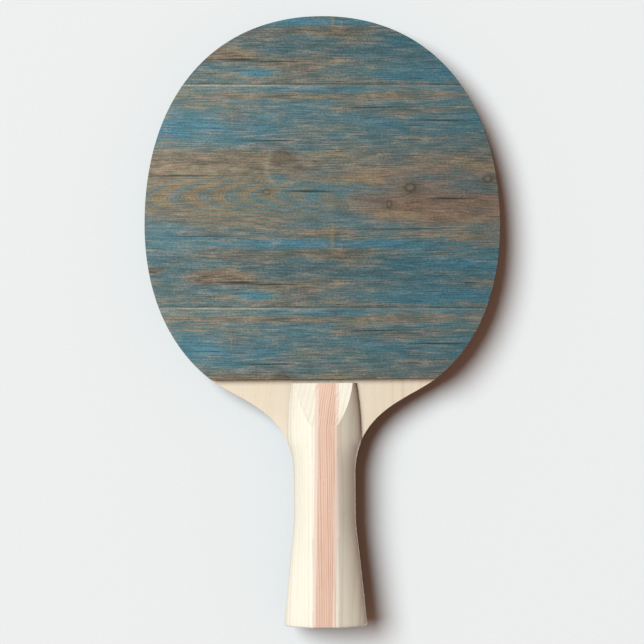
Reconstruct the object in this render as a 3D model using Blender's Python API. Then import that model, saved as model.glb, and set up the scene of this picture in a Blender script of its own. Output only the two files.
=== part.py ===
"""Table tennis paddle: a five-ply wooden blade, a sponge and rubber topsheet on each face of its head,
and a handle scale on each side of its tang, each scale laminated from five strips of wood.

The paddle lies flat. X is its width, Y its length with the handle towards -Y, and Z its thickness, with
the printed front face up. The origin is under the middle of the whole paddle, level with its lowest face.
Lengths are in metres and angles in radians.
"""

from math import asin, atan2, cos, pi, radians, sin

import bmesh
import bpy
from mathutils import Matrix, Vector

MM = 0.001

# Head: a superellipse about its widest line, with a longer reach towards the tip than towards the heel.
HEAD_WIDTH = 152.0 * MM
TIP_REACH = 89.5 * MM
HEEL_REACH = 81.0 * MM
HEAD_ROUNDNESS = 2.2

# Rubber: it follows the head and ends in a straight edge across the heel.
RUBBER_HEEL = 65.8 * MM  # from the widest line to the straight edge
RUBBER_INSET = 0.3 * MM  # how far the blade's rim stands out past the rubber
SPONGE_THICKNESS = 1.8 * MM
TOPSHEET_THICKNESS = 1.6 * MM

# Neck: one smooth curve from the head's side, at the rubber's straight edge, in to the handle's waist.
NECK_LENGTH = 40.6 * MM
NECK_HEAD_PULL = 14.2 * MM
NECK_WAIST_PULL = 27.2 * MM

# Handle, seen from the front.
HANDLE_GAP = 1.7 * MM  # bare wood between the rubber and the handle
HANDLE_LENGTH = 103.0 * MM
WAIST_WIDTH = 26.2 * MM
BUTT_WIDTH = 35.1 * MM
FLARE_START = 55.8 * MM  # from the handle's front edge to where its sides start to spread
FLARE_WAIST_PULL = 7.0 * MM
FLARE_BUTT_PULL = 34.5 * MM
FLARE_SLOPE = 0.093  # how far each side leans out at the butt
BUTT_CHAMFER = 0.8 * MM

# Handle scales, in section.
SCALE_HEIGHT = 8.6 * MM
SCALE_FLAT_WIDTH = 9.8 * MM  # flat along the middle of the scale
SCALE_ROUNDNESS = 1.5
SCALE_FRONT_WIDTH = 27.7 * MM
SCALE_SHOULDER_WIDTH = 31.5 * MM
SCALE_SHOULDER = 22.0 * MM  # from the front edge to where the scale would be widest
RAMP_LENGTH = 18.6 * MM
RAMP_FRONT_HEIGHT = 3.2 * MM

# Strips laminated into each scale.
CENTER_STRIP_WIDTH = 6.6 * MM
VENEER_THICKNESS = 1.1 * MM
FRONT_STRIPE_SKEW = radians(-1.25)  # the strips of the front scale aren't quite in line with the handle
FRONT_STRIPE_SHIFT = 0.4 * MM
BACK_STRIPE_SKEW = 0.0
BACK_STRIPE_SHIFT = 0.0

# Blade plies, and the glue line that is left between any two layers.
FACE_PLY = 0.6 * MM
CROSS_PLY = 0.8 * MM
CORE_PLY = 2.2 * MM
GLUE_LINE = 0.3 * MM

# Steps along the curves.
HEAD_STEPS = 22  # for a quarter of the head
NECK_STEPS = 14
FLARE_STEPS = 10
SCALE_STEPS = 26
SCALE_ARC_STEPS = 10

# Worked out from the sizes above.
LENGTH = TIP_REACH + RUBBER_HEEL + HANDLE_GAP + HANDLE_LENGTH
BLADE_THICKNESS = 2 * FACE_PLY + 2 * CROSS_PLY + CORE_PLY + 4 * GLUE_LINE
MIDDLE_Z = SCALE_HEIGHT + GLUE_LINE + BLADE_THICKNESS / 2
WIDEST_Y = LENGTH / 2 - TIP_REACH
RUBBER_EDGE_Y = WIDEST_Y - RUBBER_HEEL
HANDLE_FRONT_Y = RUBBER_EDGE_Y - HANDLE_GAP
BUTT_Y = -LENGTH / 2
WAIST_Y = RUBBER_EDGE_Y - NECK_LENGTH
FLARE_Y = HANDLE_FRONT_Y - FLARE_START
SCALE_BASE = BLADE_THICKNESS / 2 + GLUE_LINE  # from the blade's middle to a scale's glued face


def clear_scene():
    for thing in list(bpy.data.objects):
        bpy.data.objects.remove(thing)


def new_collection(name):
    collection = bpy.data.collections.new(name)
    bpy.context.scene.collection.children.link(collection)
    return collection


def new_material(name, colour, roughness):
    material = bpy.data.materials.new(name)
    material.use_nodes = True
    shader = material.node_tree.nodes["Principled BSDF"]
    shader.inputs["Base Color"].default_value = (*colour, 1.0)
    shader.inputs["Roughness"].default_value = roughness
    shader.inputs["Metallic"].default_value = 0.0
    return material


def bezier(start, first_pull, second_pull, end, steps):
    """Points along one cubic curve, from start to end."""
    points = []
    for step in range(steps + 1):
        t = step / steps
        points.append(
            start * (1 - t) ** 3
            + first_pull * (3 * t * (1 - t) ** 2)
            + second_pull * (3 * t * t * (1 - t))
            + end * t**3
        )
    return points


def head_side(inset):
    """The head's right side, from its tip to the rubber's straight edge."""
    half_width = HEAD_WIDTH / 2 - inset
    power = 2 / HEAD_ROUNDNESS
    last_angle = asin((RUBBER_HEEL / (HEEL_REACH - inset)) ** (HEAD_ROUNDNESS / 2))
    points = []
    for step in range(HEAD_STEPS):
        angle = pi / 2 * (1 - step / HEAD_STEPS)
        rise = (TIP_REACH - inset) * sin(angle) ** power
        points.append(Vector((half_width * cos(angle) ** power, WIDEST_Y + rise)))
    for step in range(HEAD_STEPS + 1):
        angle = last_angle * step / HEAD_STEPS
        drop = (HEEL_REACH - inset) * sin(angle) ** power
        points.append(Vector((half_width * cos(angle) ** power, WIDEST_Y - drop)))
    points[0].x = 0.0
    return points


def neck_side():
    """The right side of the neck, which leaves the head's curve without a corner."""
    start = head_side(0.0)[-1]
    drop = RUBBER_HEEL / HEEL_REACH
    half_width = HEAD_WIDTH / 2
    lean = (drop / (start.x / half_width)) ** (HEAD_ROUNDNESS - 1) * half_width / HEEL_REACH
    along = Vector((-lean, -1.0)).normalized()
    waist = Vector((WAIST_WIDTH / 2, WAIST_Y))
    above_waist = waist + Vector((0.0, NECK_WAIST_PULL))
    return bezier(start, start + along * NECK_HEAD_PULL, above_waist, waist, NECK_STEPS)


def flare_side():
    """The right side of the handle, from where it starts to spread to the butt."""
    start = Vector((WAIST_WIDTH / 2, FLARE_Y))
    below_start = start - Vector((0.0, FLARE_WAIST_PULL))
    end = Vector((BUTT_WIDTH / 2, BUTT_Y))
    above_end = end + Vector((-FLARE_SLOPE, 1.0)) * FLARE_BUTT_PULL
    return bezier(start, below_start, above_end, end, FLARE_STEPS)


def width_at(side, y):
    """Half the width at y of a side whose points run down from the tip."""
    for upper, lower in zip(side, side[1:]):
        if upper.y >= y >= lower.y:
            share = (upper.y - y) / (upper.y - lower.y)
            return upper.x + (lower.x - upper.x) * share
    return side[-1].x


HANDLE_SIDE = neck_side() + flare_side()


def closed_outline(side):
    """A whole outline from its right side: points on the middle line aren't doubled."""
    left = [Vector((-point.x, point.y)) for point in reversed(side) if point.x > 0]
    return side + left


def blade_outline():
    side = head_side(0.0)[:-1] + HANDLE_SIDE[:-1]
    corner_y = BUTT_Y + BUTT_CHAMFER
    side.append(Vector((width_at(HANDLE_SIDE, corner_y), corner_y)))
    side.append(Vector((BUTT_WIDTH / 2 - BUTT_CHAMFER, BUTT_Y)))
    return closed_outline(side)


def flat_piece(name, outline, bottom, thickness, material):
    """A sheet cut to an outline, as a filled and extruded curve."""
    curve = bpy.data.curves.new(name, "CURVE")
    curve.dimensions = "2D"
    curve.fill_mode = "BOTH"
    curve.extrude = thickness / 2
    spline = curve.splines.new("POLY")
    spline.points.add(len(outline) - 1)
    for place, point in zip(spline.points, outline):
        place.co = (point.x, point.y, 0.0, 1.0)
    spline.use_cyclic_u = True
    curve.materials.append(material)
    piece = bpy.data.objects.new(name, curve)
    piece.location.z = bottom + thickness / 2
    paddle.objects.link(piece)
    return piece


def add_blade():
    """Five plies, from the back face up, with a glue line between each two."""
    plies = (
        ("back_face_ply", FACE_PLY, face_wood),
        ("back_cross_ply", CROSS_PLY, cross_wood),
        ("core_ply", CORE_PLY, core_wood),
        ("front_cross_ply", CROSS_PLY, cross_wood),
        ("front_face_ply", FACE_PLY, face_wood),
    )
    outline = blade_outline()
    bottom = MIDDLE_Z - BLADE_THICKNESS / 2
    for name, thickness, material in plies:
        flat_piece(name, outline, bottom, thickness, material)
        bottom += thickness + GLUE_LINE


def add_rubber(face, side, topsheet_material):
    """A sponge and its topsheet on one face of the head: side is 1 in front and -1 behind."""
    outline = closed_outline(head_side(RUBBER_INSET))
    inner = BLADE_THICKNESS / 2
    layers = (
        (face + "_sponge", SPONGE_THICKNESS, sponge),
        (face + "_topsheet", TOPSHEET_THICKNESS, topsheet_material),
    )
    for name, thickness, material in layers:
        inner += GLUE_LINE
        centre = MIDDLE_Z + side * (inner + thickness / 2)
        flat_piece(name, outline, centre - thickness / 2, thickness, material)
        inner += thickness


def scale_half_width(y):
    """Half a scale's width on the blade: its own shoulder as far as the waist, and flush from there."""
    if y <= WAIST_Y:
        return width_at(HANDLE_SIDE, y)
    back = min((HANDLE_FRONT_Y - y) / SCALE_SHOULDER, 1.0)
    spread = (SCALE_SHOULDER_WIDTH - SCALE_FRONT_WIDTH) / 2
    shoulder = SCALE_SHOULDER_WIDTH / 2 - spread * (1 - back) ** 2
    return min(shoulder, width_at(HANDLE_SIDE, y))


def scale_ring(y, half_width, height, side):
    """Points round one section of a scale, from its left edge on the blade over to its right one."""
    flat = SCALE_FLAT_WIDTH / 2
    power = 2 / SCALE_ROUNDNESS
    full_height = height / (1 - (flat / half_width) ** SCALE_ROUNDNESS) ** (1 / SCALE_ROUNDNESS)
    last_angle = asin((height / full_height) ** (SCALE_ROUNDNESS / 2))
    right = []
    for step in range(SCALE_ARC_STEPS + 1):
        angle = last_angle * step / SCALE_ARC_STEPS
        rise = SCALE_BASE + full_height * sin(angle) ** power
        right.append(Vector((half_width * cos(angle) ** power, y, MIDDLE_Z + side * rise)))
    left = [Vector((-point.x, y, point.z)) for point in right]
    return left + right[::-1]


def scale_blank(name, side):
    """A scale's mesh before it is cut into strips: sections along the handle, joined and capped."""
    corner_y = BUTT_Y + BUTT_CHAMFER
    rings = []
    for step in range(SCALE_STEPS + 1):
        y = HANDLE_FRONT_Y + (corner_y - HANDLE_FRONT_Y) * step / SCALE_STEPS
        rings.append(scale_ring(y, scale_half_width(y), SCALE_HEIGHT, side))
    butt_half_width = BUTT_WIDTH / 2 - BUTT_CHAMFER
    rings.append(scale_ring(BUTT_Y, butt_half_width, SCALE_HEIGHT - BUTT_CHAMFER, side))
    shape = bmesh.new()
    rows = [[shape.verts.new(point) for point in ring] for ring in rings]
    for row, next_row in zip(rows, rows[1:]):
        for index in range(len(row)):
            after = (index + 1) % len(row)
            shape.faces.new((row[index], row[after], next_row[after], next_row[index]))
    shape.faces.new(rows[0])
    shape.faces.new(rows[-1])
    bmesh.ops.recalc_face_normals(shape, faces=shape.faces)
    mesh = bpy.data.meshes.new(name)
    shape.to_mesh(mesh)
    shape.free()
    return mesh


def box_cutter(name, size, centre, turn):
    """A hidden box that a Boolean uses."""
    shape = bmesh.new()
    bmesh.ops.create_cube(shape, size=1.0, matrix=Matrix.Diagonal((*size, 1.0)))
    mesh = bpy.data.meshes.new(name)
    shape.to_mesh(mesh)
    shape.free()
    cutter = bpy.data.objects.new(name, mesh)
    cutter.location = centre
    cutter.rotation_euler = turn
    cutter.hide_render = True
    cutter.display_type = "WIRE"
    cutters.objects.link(cutter)
    return cutter


def ramp_cutter(face, side):
    """The box that slopes a scale's front end: its lower face lies on the ramp."""
    slope = atan2(SCALE_HEIGHT - RAMP_FRONT_HEIGHT, RAMP_LENGTH)
    size = Vector((2 * HEAD_WIDTH, 2 * HANDLE_LENGTH, HANDLE_LENGTH))
    ramp_top = Vector((0.0, HANDLE_FRONT_Y - RAMP_LENGTH, SCALE_BASE + SCALE_HEIGHT))
    away = Vector((0.0, sin(slope), cos(slope)))
    centre = ramp_top + away * size.z / 2
    centre.z = MIDDLE_Z + side * centre.z
    return box_cutter(face + "_ramp_cutter", size, centre, (-side * slope, 0.0, 0.0))


def add_scale(face, side, skew, shift):
    """The five strips of one scale, each sawn from the same blank."""
    blank = scale_blank(face + "_scale_blank", side)
    ramp = ramp_cutter(face, side)
    half_center = CENTER_STRIP_WIDTH / 2
    veneer_middle = half_center + GLUE_LINE + VENEER_THICKNESS / 2
    outer_start = half_center + VENEER_THICKNESS + 2 * GLUE_LINE
    outer_width = HEAD_WIDTH / 2
    outer_middle = outer_start + outer_width / 2
    strips = (
        ("left_strip", -outer_middle, outer_width, light_wood),
        ("left_veneer", -veneer_middle, VENEER_THICKNESS, veneer_wood),
        ("center_strip", 0.0, CENTER_STRIP_WIDTH, red_wood),
        ("right_veneer", veneer_middle, VENEER_THICKNESS, veneer_wood),
        ("right_strip", outer_middle, outer_width, light_wood),
    )
    handle_middle = Vector((shift, HANDLE_FRONT_Y - HANDLE_LENGTH / 2, MIDDLE_Z))
    for strip, offset, width, material in strips:
        name = face + "_scale_" + strip
        piece = bpy.data.objects.new(name, blank.copy())
        piece.data.name = name
        piece.data.materials.append(material)
        paddle.objects.link(piece)
        centre = handle_middle + Matrix.Rotation(skew, 3, "Z") @ Vector((offset, 0.0, 0.0))
        size = (width, 2 * HANDLE_LENGTH, 2 * HANDLE_LENGTH)
        saw = box_cutter(name + "_saw", size, centre, (0.0, 0.0, skew))
        for label, operation, cutter in (("Ramp", "DIFFERENCE", ramp), ("Strip", "INTERSECT", saw)):
            cut = piece.modifiers.new(label, "BOOLEAN")
            cut.operation = operation
            cut.solver = "EXACT"
            cut.object = cutter
    bpy.data.meshes.remove(blank)


clear_scene()
paddle = new_collection("table_tennis_paddle")
cutters = new_collection("cutters")

face_wood = new_material("face_wood", (0.75, 0.60, 0.42), 0.55)
cross_wood = new_material("cross_wood", (0.62, 0.42, 0.24), 0.6)
core_wood = new_material("core_wood", (0.80, 0.68, 0.48), 0.6)
light_wood = new_material("light_wood", (0.90, 0.83, 0.68), 0.5)
veneer_wood = new_material("veneer_wood", (0.80, 0.58, 0.47), 0.5)
red_wood = new_material("red_wood", (0.72, 0.42, 0.32), 0.5)
sponge = new_material("sponge", (0.80, 0.72, 0.50), 0.9)
front_rubber = new_material("front_rubber", (0.10, 0.20, 0.26), 0.5)
back_rubber = new_material("back_rubber", (0.45, 0.02, 0.02), 0.45)

add_blade()
add_rubber("front", 1, front_rubber)
add_rubber("back", -1, back_rubber)
add_scale("front", 1, FRONT_STRIPE_SKEW, FRONT_STRIPE_SHIFT)
add_scale("back", -1, BACK_STRIPE_SKEW, BACK_STRIPE_SHIFT)
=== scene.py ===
# %% [markdown]
# # A table tennis paddle
#
# This lesson dresses one paddle for its picture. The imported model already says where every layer
# is: five plies of blade, a sponge and a rubber topsheet on each face, and a handle scale on each
# side that is laminated from five strips. Those solids are plain and keep a gap between neighbours,
# so most of them are rebuilt here with fine edges and real thicknesses, in exactly the same place.

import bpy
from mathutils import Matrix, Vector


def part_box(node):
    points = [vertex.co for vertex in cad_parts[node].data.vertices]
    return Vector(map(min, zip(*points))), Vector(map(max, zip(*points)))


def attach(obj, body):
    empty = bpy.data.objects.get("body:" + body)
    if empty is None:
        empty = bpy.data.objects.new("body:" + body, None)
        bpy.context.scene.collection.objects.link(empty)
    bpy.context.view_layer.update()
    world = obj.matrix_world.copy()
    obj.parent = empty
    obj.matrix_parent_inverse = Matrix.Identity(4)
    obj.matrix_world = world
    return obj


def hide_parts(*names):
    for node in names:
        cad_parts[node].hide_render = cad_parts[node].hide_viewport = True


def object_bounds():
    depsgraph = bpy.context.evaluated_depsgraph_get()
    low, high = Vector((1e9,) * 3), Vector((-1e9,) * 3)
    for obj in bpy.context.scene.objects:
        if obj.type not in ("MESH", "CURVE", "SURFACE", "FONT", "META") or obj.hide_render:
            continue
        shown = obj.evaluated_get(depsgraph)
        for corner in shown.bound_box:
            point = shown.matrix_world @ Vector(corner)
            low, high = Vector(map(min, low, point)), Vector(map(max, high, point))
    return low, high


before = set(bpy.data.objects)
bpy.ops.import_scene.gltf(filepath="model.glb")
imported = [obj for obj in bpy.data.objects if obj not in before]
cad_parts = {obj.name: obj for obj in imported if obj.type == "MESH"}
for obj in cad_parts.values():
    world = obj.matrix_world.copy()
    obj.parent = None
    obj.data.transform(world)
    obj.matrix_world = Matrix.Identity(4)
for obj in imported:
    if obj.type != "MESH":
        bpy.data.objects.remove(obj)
cad_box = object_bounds()
corners_mm = [round(1000 * c, 1) for c in (*cad_box[0], *cad_box[1])]
print("CAD nodes:", len(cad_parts), "box in mm:", corners_mm)

# %% [markdown]
# ## Working by hand, in code
#
# Blender's operators act on whatever is selected, so each step first clears the selection. In edit
# mode the faces or edges are chosen by where their corners are, which is how a modeller would pick
# them with the mouse. All sizes are in metres, so a millimetre gets a name of its own.

# %% Helpers for selecting and editing
from math import atan2, cos, pi, radians, sin, sqrt, tan

import bpy
from mathutils import Matrix, Vector

MM = 0.001
SNAP = 0.02 * MM  # two places closer than this are the same place
PARTS = {"VERT": "vertices", "EDGE": "edges", "FACE": "polygons"}


def to_object_mode():
    if bpy.context.mode != "OBJECT":
        bpy.ops.object.mode_set(mode="OBJECT")


def deselect():
    bpy.ops.object.select_all(action="DESELECT")


def work_on(piece):
    """Makes one piece the only selected object and the active one."""
    to_object_mode()
    deselect()
    piece.select_set(True)
    bpy.context.view_layer.objects.active = piece
    return piece


def pick(piece, kind, test):
    """Enters edit mode with only those vertices, edges or faces selected that pass the test."""
    work_on(piece)
    mesh = piece.data
    for part in PARTS.values():
        things = getattr(mesh, part)
        things.foreach_set("select", [False] * len(things))
    chosen = 0
    for thing in getattr(mesh, PARTS[kind]):
        corners = [thing.co] if kind == "VERT" else [mesh.vertices[i].co for i in thing.vertices]
        if test(corners):
            thing.select = True
            chosen += 1
    bpy.context.tool_settings.mesh_select_mode = (kind == "VERT", kind == "EDGE", kind == "FACE")
    bpy.ops.object.mode_set(mode="EDIT")
    return chosen


def pick_all(piece):
    return pick(piece, "FACE", lambda corners: True) or pick(piece, "EDGE", lambda corners: True)


def ease_edges(width, segments):
    """Rounds the selected edges over."""
    bpy.ops.mesh.bevel(
        offset=width, segments=segments, profile=0.5, affect="EDGES", clamp_overlap=False
    )


def all_at(axis, place):
    """A test that every corner lies at one place along an axis."""
    return lambda corners: all(abs(corner[axis] - place) < SNAP for corner in corners)


def tidy(piece, smooth_angle=30):
    """Closes the modelling of a piece: outward faces, smooth curves and sharp corners."""
    pick_all(piece)
    bpy.ops.mesh.normals_make_consistent(inside=False)
    to_object_mode()
    work_on(piece)
    bpy.ops.object.shade_smooth_by_angle(angle=radians(smooth_angle))
    return piece


def closed(piece):
    """True when every edge has exactly two faces."""
    used = {}
    for face in piece.data.polygons:
        for key in face.edge_keys:
            used[key] = used.get(key, 0) + 1
    return all(count == 2 for count in used.values())


def report(piece):
    low = [min(v.co[axis] for v in piece.data.vertices) for axis in range(3)]
    high = [max(v.co[axis] for v in piece.data.vertices) for axis in range(3)]
    size = " x ".join(f"{(h - l) / MM:.1f}" for l, h in zip(low, high))
    print(f"{piece.name}: {len(piece.data.polygons)} faces, {size} mm, closed {closed(piece)}")


def settle(piece, node):
    """Says which body a finished piece rides on, and hides the CAD node it stands in for."""
    report(piece)
    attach(piece, "root")
    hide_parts(node)


# %% [markdown]
# ## Sizes that the frame doesn't name
#
# The frame gives each node's box, so the widest line, the rubber's straight edge and the ends of
# the handle are read from it. The shape between those places is the maker's template: how far each
# curve pulls, and how wide the handle is at its waist.

# %% Places read from the frame, and the maker's template
PLIES = ("back_face_ply", "back_cross_ply", "core_ply", "front_cross_ply", "front_face_ply")
STRIPS = ("left_strip", "left_veneer", "center_strip", "right_veneer", "right_strip")

blade_low, blade_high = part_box("core_ply")
rubber_low, rubber_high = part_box("front_topsheet")
handle_low, handle_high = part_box("front_scale_center_strip")

HALF_HEAD = blade_high.x
TIP_Y = blade_high.y
BUTT_Y = blade_low.y
RUBBER_EDGE_Y = rubber_low.y
HANDLE_FRONT_Y = handle_high.y
RUBBER_INSET = TIP_Y - rubber_high.y
WIDEST_Y = TIP_Y - 89.5 * MM
HEEL_REACH = 81 * MM

HEAD_PULL = 0.6126  # a Bezier handle of this share of the radius gives the head's squarish oval
NECK_LENGTH = 40.6 * MM
NECK_HEAD_PULL = 14.2 * MM
NECK_WAIST_PULL = 27.2 * MM
HALF_WAIST = 13.1 * MM
HALF_BUTT = 17.55 * MM
FLARE_START = 55.8 * MM
FLARE_WAIST_PULL = 7 * MM
FLARE_BUTT_PULL = 34.5 * MM
FLARE_SLOPE = 0.093
BUTT_ROUND = 0.8 * MM
QUARTER_ROUND_PULL = 0.55  # a Bezier handle of this share of the radius gives a quarter circle

WAIST_Y = RUBBER_EDGE_Y - NECK_LENGTH
FLARE_Y = HANDLE_FRONT_Y - FLARE_START
print(f"widest at y {WIDEST_Y / MM:.1f} mm, rubber edge at {RUBBER_EDGE_Y / MM:.1f} mm")

# %% [markdown]
# ## The camera
#
# A catalogue picture of a paddle is taken from straight above, with a long lens so that the head
# and the butt keep their proportions. The paddle rests on the tip of its back rubber and on its
# back scale, so it is tipped a little on the table, and the camera looks square onto the table. The
# camera comes first because everything after it is judged through it.

# %% Place the camera over the table
RAMP_LENGTH = 18.6 * MM
HANDLE_REST_Y = HANDLE_FRONT_Y - RAMP_LENGTH  # where the back scale's ramp meets its flat
back_rubber_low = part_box("back_topsheet")[0].z
TABLE_SLOPE = atan2(back_rubber_low, TIP_Y - HANDLE_REST_Y)
TABLE_UP = Vector((0, -sin(TABLE_SLOPE), cos(TABLE_SLOPE)))

CAMERA_DISTANCE = 780 * MM
CAMERA_LENS = 102.6  # this and the sensor are in the camera's own millimetres
SENSOR_WIDTH = 36
NEAREST_SEEN = 50 * MM
CAMERA_ROLL = radians(-0.5)
AIM = Vector((-0.6 * MM, -1 * MM, rubber_high.z))

bpy.ops.object.camera_add(location=AIM + TABLE_UP * CAMERA_DISTANCE)
camera = bpy.context.object
camera.name = "camera_above"
camera.data.lens = CAMERA_LENS
camera.data.sensor_width = SENSOR_WIDTH
camera.data.clip_start = NEAREST_SEEN
across = Vector((cos(CAMERA_ROLL), sin(CAMERA_ROLL), 0))
up_page = TABLE_UP.cross(across)
facing = Matrix((across, up_page, TABLE_UP)).transposed().to_4x4()
camera.matrix_world = Matrix.Translation(camera.location) @ facing
bpy.context.scene.camera = camera
print(f"the paddle is tipped {TABLE_SLOPE * 180 / pi:.2f} degrees on the table")

# %% [markdown]
# ## Drawing outlines with Bezier curves
#
# The blade's outline could be traced with hundreds of short lines, but a bat maker's template has
# only a few places that matter: tip, widest line, heel, waist, flare and butt. A Bezier curve needs
# one knot at each, with two handles that say how the curve runs through it.

# %% Bezier outlines
def knot(x, y, before=(0, 0), after=(0, 0)):
    """A place on an outline with the pull of the handle before it and the one after it."""
    return Vector((x, y, 0)), Vector((*before, 0)), Vector((*after, 0))


def with_mirror(side):
    """A right side's knots and the same knots on the left, in order round the outline."""
    left = []
    for place, before, after in reversed(side):
        if abs(place.x) > SNAP:
            flip = Vector((-1, 1, 1))
            left.append((place * flip, after * flip, before * flip))
    return side + left


def draw_curve(name, knots, resolution=24):
    """A closed Bezier curve through the knots. A stretch whose handles don't pull is straight."""
    deselect()
    bpy.ops.curve.primitive_bezier_curve_add()
    drawn = bpy.context.object
    drawn.name = name
    drawn.data.resolution_u = resolution
    spline = drawn.data.splines[0]
    spline.use_cyclic_u = True
    spline.bezier_points.add(len(knots) - 2)
    for point, (place, before, after) in zip(spline.bezier_points, knots):
        point.handle_left_type = "FREE" if before.length else "VECTOR"
        point.handle_right_type = "FREE" if after.length else "VECTOR"
        point.co = place
        point.handle_left = place + before
        point.handle_right = place + after
    return drawn


def as_mesh(drawn):
    work_on(drawn)
    bpy.ops.object.convert(target="MESH")
    made = bpy.context.object
    made.data.name = made.name
    return made


# %% Knots of the blade and of the rubber
def heel_cut(inset):
    """The head's lower right quarter, cut where the rubber ends: its two handles and its end."""
    half = HALF_HEAD - inset
    reach = HEEL_REACH - inset
    corners = [
        Vector((half, WIDEST_Y)),
        Vector((half, WIDEST_Y - HEAD_PULL * reach)),
        Vector((HEAD_PULL * half, WIDEST_Y - reach)),
        Vector((0, WIDEST_Y - reach)),
    ]
    low, high = 0, 1
    for _ in range(40):  # halves the stretch of curve that holds the rubber's edge
        share = (low + high) / 2
        first = [a.lerp(b, share) for a, b in zip(corners, corners[1:])]
        second = [a.lerp(b, share) for a, b in zip(first, first[1:])]
        end = second[0].lerp(second[1], share)
        low, high = (share, high) if end.y > RUBBER_EDGE_Y else (low, share)
    return first[0] - corners[0], second[0] - end, end


def head_knots(inset, neck_pull):
    """Tip, widest line and heel of the right side. The neck pull runs on along the curve."""
    half = HALF_HEAD - inset
    reach = TIP_Y - inset - WIDEST_Y
    widest_pull, heel_pull, heel = heel_cut(inset)
    onward = -heel_pull.normalized() * neck_pull
    return [
        knot(0, TIP_Y - inset, (-HEAD_PULL * half, 0), (HEAD_PULL * half, 0)),
        knot(half, WIDEST_Y, (0, HEAD_PULL * reach), widest_pull),
        knot(heel.x, RUBBER_EDGE_Y, heel_pull, onward),
    ]


def blade_knots():
    round_pull = QUARTER_ROUND_PULL * BUTT_ROUND
    butt_lean = (-FLARE_SLOPE * FLARE_BUTT_PULL, FLARE_BUTT_PULL)
    side = head_knots(0, NECK_HEAD_PULL) + [
        knot(HALF_WAIST, WAIST_Y, before=(0, NECK_WAIST_PULL)),
        knot(HALF_WAIST, FLARE_Y, after=(0, -FLARE_WAIST_PULL)),
        knot(HALF_BUTT, BUTT_Y + BUTT_ROUND, butt_lean, (0, -round_pull)),
        knot(HALF_BUTT - BUTT_ROUND, BUTT_Y, before=(round_pull, 0)),
    ]
    return with_mirror(side)


print("knots round the blade:", len(blade_knots()))

# %% [markdown]
# ## The blade: five plies
#
# A blade is a sandwich of thin veneers round a thicker core, with the grain of the cross plies
# turned across the others so that it can't split. The plies are glued and then cut out together, so
# they all share one outline. In the frame there is a gap between plies. Here each ply is thickened
# to the middle of its gaps, and the hair of a line that is left reads as the glue line along the
# rim.

# %% Sheets cut to an outline
GLUE_HAIR = 0.04 * MM


def cut_sheet(name, knots, faces, bevel_top=0, bevel_bottom=0, resolution=24):
    """A sheet between two heights: the outline is filled and pushed up, and its edges are eased."""
    bottom, top = sorted(faces)
    sheet = as_mesh(draw_curve(name, knots, resolution))
    pick_all(sheet)
    bpy.ops.mesh.remove_doubles(threshold=SNAP)
    bpy.ops.mesh.select_all(action="SELECT")
    bpy.ops.mesh.edge_face_add()
    bpy.ops.transform.translate(value=(0, 0, bottom))
    bpy.ops.mesh.extrude_region_move(TRANSFORM_OT_translate={"value": (0, 0, top - bottom)})
    for place, width in ((top, bevel_top), (bottom, bevel_bottom)):
        if width:
            pick(sheet, "EDGE", all_at(2, place))
            ease_edges(width, 3)
    return tidy(sheet)


def glued_span(node):
    """A ply's bottom and top, moved out to the middle of the gaps to its neighbours."""
    low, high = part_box(node)
    place = PLIES.index(node)
    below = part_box(PLIES[place - 1])[1].z if place > 0 else None
    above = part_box(PLIES[place + 1])[0].z if place < len(PLIES) - 1 else None
    bottom = low.z if below is None else (low.z + below) / 2 + GLUE_HAIR / 2
    top = high.z if above is None else (high.z + above) / 2 - GLUE_HAIR / 2
    return bottom, top


# %% Cut the five plies
RIM_EASE = 0.25 * MM  # the sanded edge of the two faces
plies = {}
for node in PLIES:
    ease_top = RIM_EASE if node == PLIES[-1] else 0
    ease_bottom = RIM_EASE if node == PLIES[0] else 0
    faces = glued_span(node)
    plies[node] = cut_sheet("blade_" + node, blade_knots(), faces, ease_top, ease_bottom)
    settle(plies[node], node)

# %% [markdown]
# ## Sponge and rubber
#
# Each face carries a sheet of sponge, glued to the wood, and a rubber topsheet glued to the sponge
# with its pimples inwards. From the side the topsheet is a thin skin standing on a row of tiny
# columns. So the skin, the pimples and the sponge are three things: only the outer rows of pimples
# can ever be seen, and the rest are stood for by one slab that is set back behind them.

# %% Sponges
SKIN_THICKNESS = 0.7 * MM
SKIN_ROUND = 0.22 * MM


FACES = ("front", "back")
SIDES = {"front": 1, "back": -1}


def rubber_knots(inset=0):
    return with_mirror(head_knots(RUBBER_INSET + inset, 0))


def outer_height(face, node):
    """The height of the side of a node that looks away from the blade."""
    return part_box(node)[1 if face == "front" else 0].z


def add_sponge(face):
    node = face + "_sponge"
    glued = outer_height(face, face + "_face_ply") + SIDES[face] * GLUE_HAIR
    sponge = cut_sheet(node + "_sheet", rubber_knots(), (glued, outer_height(face, node)))
    settle(sponge, node)
    return sponge


def add_skin(face):
    outer = outer_height(face, face + "_topsheet")
    inner = outer - SIDES[face] * SKIN_THICKNESS
    ease = (SKIN_ROUND, 0) if face == "front" else (0, SKIN_ROUND)
    skin = cut_sheet(face + "_rubber_skin", rubber_knots(), (inner, outer), *ease, 40)
    settle(skin, face + "_topsheet")
    return skin


sponges = [add_sponge(face) for face in FACES]
skins = [add_skin(face) for face in FACES]

# %% [markdown]
# The pimples are one column, copied by three Array modifiers into a field of staggered rows. Those
# that stand too far in, or over the edge, are then deleted.

# %% Pimples
PIMPLE_PITCH = 2.1 * MM
PIMPLE_RADIUS = 0.8 * MM
PIMPLE_SIDES = 10
PIMPLE_TAPER = 0.85
PIMPLE_MARGIN = 0.1 * MM  # rubber left between the first row and the straight edge
PIMPLE_BAND = 4.6 * MM  # how far in from the edge the pimples are kept
BACKING_INSET = PIMPLE_BAND - 0.4 * MM  # the slab starts just outside the inmost pimples
OVAL_POWER = 2.2  # between an ellipse, which is 2, and a rectangle


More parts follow.
